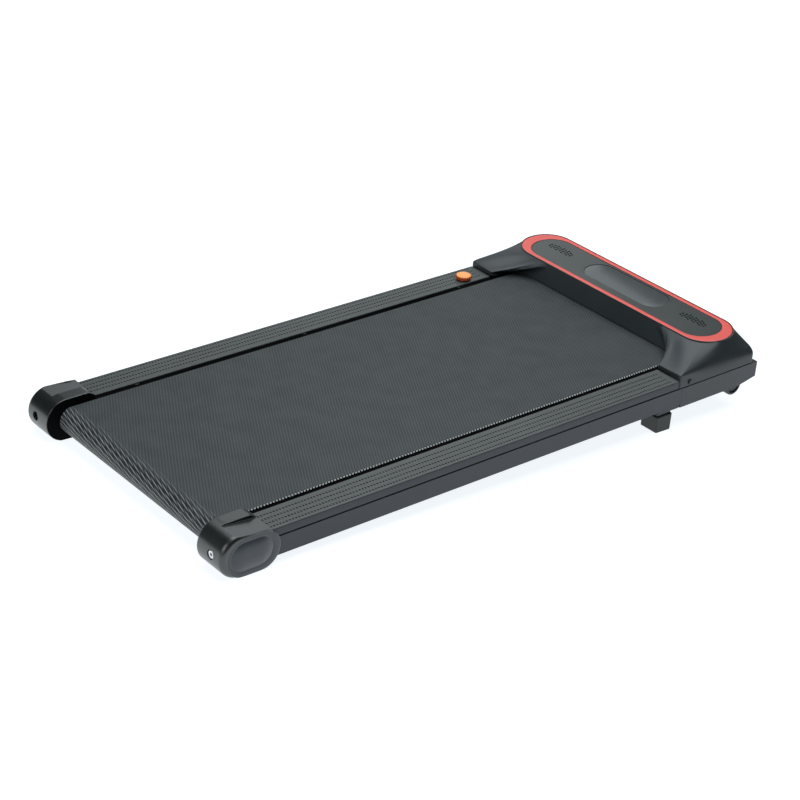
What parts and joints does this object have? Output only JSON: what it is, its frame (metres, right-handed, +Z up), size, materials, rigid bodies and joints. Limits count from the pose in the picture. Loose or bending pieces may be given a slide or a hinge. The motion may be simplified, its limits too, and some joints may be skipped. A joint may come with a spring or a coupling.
{
  "type": "walking pad",
  "caption": "Low walking pad: a wide ribbed belt between grooved foot rails, round rear caps and a front motor hood with a ringed control panel.",
  "frame": {"origin": "on the floor at the middle of the pad's bounding box", "axes": "+Y along the belt towards the motor hood, +X to the right, +Z up from the floor"},
  "size_m": [0.537, 1.112, 0.1377],
  "materials": {
    "belt_rubber": "fine ribbed matte",
    "rail_plastic": "fine grained",
    "frame_paint": "satin powder coat",
    "cap_plastic": "satin moulded",
    "cover_plastic": "satin moulded",
    "hood_plastic": "satin moulded",
    "pan_plastic": "satin moulded",
    "ring_coral": "satin coloured",
    "panel_plastic": "fine satin",
    "window_acrylic": "smoked gloss",
    "oil_orange": "coloured gloss",
    "black_plastic": "moulded",
    "switch_red": "gloss",
    "reset_black": "gloss",
    "soft_rubber": "matte",
    "deck_wood": "black film-faced fibreboard",
    "bare_steel": "zinc plated",
    "dark_screws": "blacked steel",
    "motor_paint": "painted can",
    "cast_aluminium": "extruded",
    "board_green": "solder mask"
  },
  "bodies": {
    "frame": {"rear_crossmember": "frame_paint", "middle_crossmember": "frame_paint", "front_crossmember": "frame_paint", "deck_board": "deck_wood", "deck_cushions": "soft_rubber", "deck_screws": "bare_steel", "running_belt": "belt_rubber", "front_axle": "bare_steel", "front_axle_bolts": "bare_steel", "motor_cradle": "frame_paint", "motor_can": "motor_paint", "drive_belt": "soft_rubber", "control_board": "board_green", "heat_sink": "cast_aluminium", "wheel_axles": "bare_steel", "oil_port": "black_plastic", "cap_screws": "dark_screws", "motor_pan": "pan_plastic", "power_inlet": "black_plastic", "hood": "hood_plastic", "ring_trim": "ring_coral", "top_panel": "panel_plastic", "display_window": "window_acrylic", "display_board": "board_green", "speakers": "black_plastic", "cover_screws": "dark_screws", "right_side_beam": "frame_paint", "left_side_beam": "frame_paint", "right_front_plate": "frame_paint", "left_front_plate": "frame_paint", "right_axle_yoke": "frame_paint", "left_axle_yoke": "frame_paint", "right_foot_bracket": "frame_paint", "left_foot_bracket": "frame_paint", "right_front_foot": "soft_rubber", "left_front_foot": "soft_rubber", "right_foot_rail": "rail_plastic", "left_foot_rail": "rail_plastic", "right_rear_cap": "cap_plastic", "left_rear_cap": "cap_plastic", "right_cap_cover": "cover_plastic", "left_cap_cover": "cover_plastic"},
    "front_roller": {"front_roller": "bare_steel", "front_roller_bearings": "bare_steel", "roller_pulley": "cast_aluminium"},
    "motor_rotor": {"motor_armature": "bare_steel", "motor_pulley": "cast_aluminium", "motor_fan": "black_plastic"},
    "right_tension_bolt": {"right_tension_bolt": "bare_steel"},
    "left_tension_bolt": {"left_tension_bolt": "bare_steel"},
    "rear_axle": {"rear_axle": "bare_steel"},
    "rear_roller": {"rear_roller": "bare_steel", "rear_roller_bearings": "bare_steel"},
    "right_wheel": {"right_wheel": "black_plastic"},
    "left_wheel": {"left_wheel": "black_plastic"},
    "oil_seal": {"oil_cap_seal": "soft_rubber"},
    "oil_cap": {"oil_cap": "oil_orange"},
    "power_switch": {"power_switch": "switch_red"},
    "reset_button": {"reset_button": "reset_black"}
  },
  "joints": [
    {"name": "front_roller_spin", "type": "hinge", "parent": "frame", "child": "front_roller", "pos_m": [0, 0.43418, 0.07165], "axis": [1, 0, 0], "continuous": true},
    {"name": "motor_spin", "type": "hinge", "parent": "frame", "child": "motor_rotor", "pos_m": [0.082, 0.49682, 0.08259], "axis": [1, 0, 0], "continuous": true},
    {"name": "right_tension_bolt_turn", "type": "hinge", "parent": "frame", "child": "right_tension_bolt", "pos_m": [0.238, -0.54014, 0.03534], "axis": [0, -0.9993, -0.0372], "range_deg": [0, 2880.01]},
    {"name": "left_tension_bolt_turn", "type": "hinge", "parent": "frame", "child": "left_tension_bolt", "pos_m": [-0.238, -0.54014, 0.03534], "axis": [0, -0.9993, -0.0372], "range_deg": [0, 2880.01]},
    {"name": "rear_axle_slide", "type": "slide", "parent": "frame", "child": "rear_axle", "axis": [0, 0.9993, 0.0372], "range_m": [0, 0.01]},
    {"name": "rear_roller_spin", "type": "hinge", "parent": "rear_axle", "child": "rear_roller", "pos_m": [0, -0.51316, 0.03635], "axis": [1, 0, 0], "continuous": true},
    {"name": "right_wheel_spin", "type": "hinge", "parent": "frame", "child": "right_wheel", "pos_m": [0.242, 0.50217, 0.04647], "axis": [1, 0, 0], "continuous": true},
    {"name": "left_wheel_spin", "type": "hinge", "parent": "frame", "child": "left_wheel", "pos_m": [-0.242, 0.50217, 0.04647], "axis": [1, 0, 0], "continuous": true},
    {"name": "oil_cap_lift", "type": "slide", "parent": "frame", "child": "oil_seal", "axis": [0, -0.0372, 0.9993], "range_m": [0, 0.012]},
    {"name": "oil_cap_turn", "type": "hinge", "parent": "oil_seal", "child": "oil_cap", "pos_m": [-0.226, 0.3064, 0.09021], "axis": [0, -0.0372, 0.9993], "range_deg": [0, 1440]},
    {"name": "power_switch_rock", "type": "hinge", "parent": "frame", "child": "power_switch", "pos_m": [-0.12528, 0.54688, 0.06865], "axis": [0, -0.0372, 0.9993], "range_deg": [0, 16]},
    {"name": "reset_button_press", "type": "slide", "parent": "frame", "child": "reset_button", "axis": [0, -0.9993, -0.0372], "range_m": [0, 0.003], "stiffness_N_per_m": 300}
  ],
  "couplings": [
    {"joint": "rear_roller_spin", "follows": "front_roller_spin", "ratio": 1},
    {"joint": "motor_spin", "follows": "front_roller_spin", "ratio": 2.6667},
    {"joint": "left_tension_bolt_turn", "follows": "rear_axle_slide", "rad_per_m": 5026.5},
    {"joint": "right_tension_bolt_turn", "follows": "rear_axle_slide", "rad_per_m": 5026.5},
    {"joint": "oil_cap_lift", "follows": "oil_cap_turn", "m_per_rad": 0.00047746}
  ]
}
